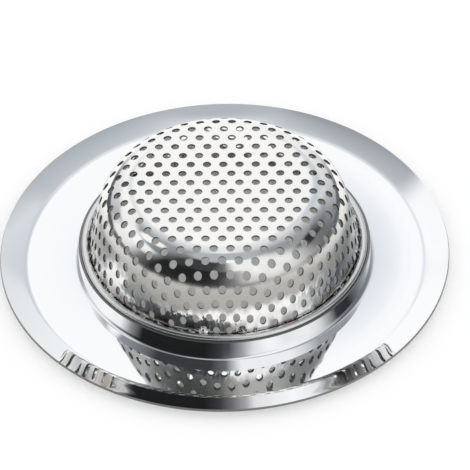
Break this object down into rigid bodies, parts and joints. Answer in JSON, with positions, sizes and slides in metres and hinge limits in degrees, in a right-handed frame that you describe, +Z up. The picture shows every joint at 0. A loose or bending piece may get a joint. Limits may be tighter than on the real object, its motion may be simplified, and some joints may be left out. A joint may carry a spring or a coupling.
{
  "type": "sink strainer",
  "caption": "Stainless-steel kitchen sink strainer, lying upside down: wide mirror-polished rim with a short collar, and a drawn perforated basket crimped into it.",
  "frame": {"origin": "the strainer's axis on the plane of the rim's flat, which lies on the table", "axes": "+Z up along the axis, from the rim to the basket's floor; the strainer lies upside down, so in use +Z points down the drain. +X along the rows of holes. The picture looks along +Y from above."},
  "size_m": [0.114, 0.114, 0.0244],
  "materials": {
    "polished_steel": "mirror-polished stainless steel",
    "ring_steel": "bright rolled stainless steel",
    "perforated_steel": "bright drawn stainless sheet, punched with round holes"
  },
  "bodies": {
    "root": {"rim_plate": "polished_steel", "seam_ring": "ring_steel", "basket": "perforated_steel"}
  },
  "joints": []
}
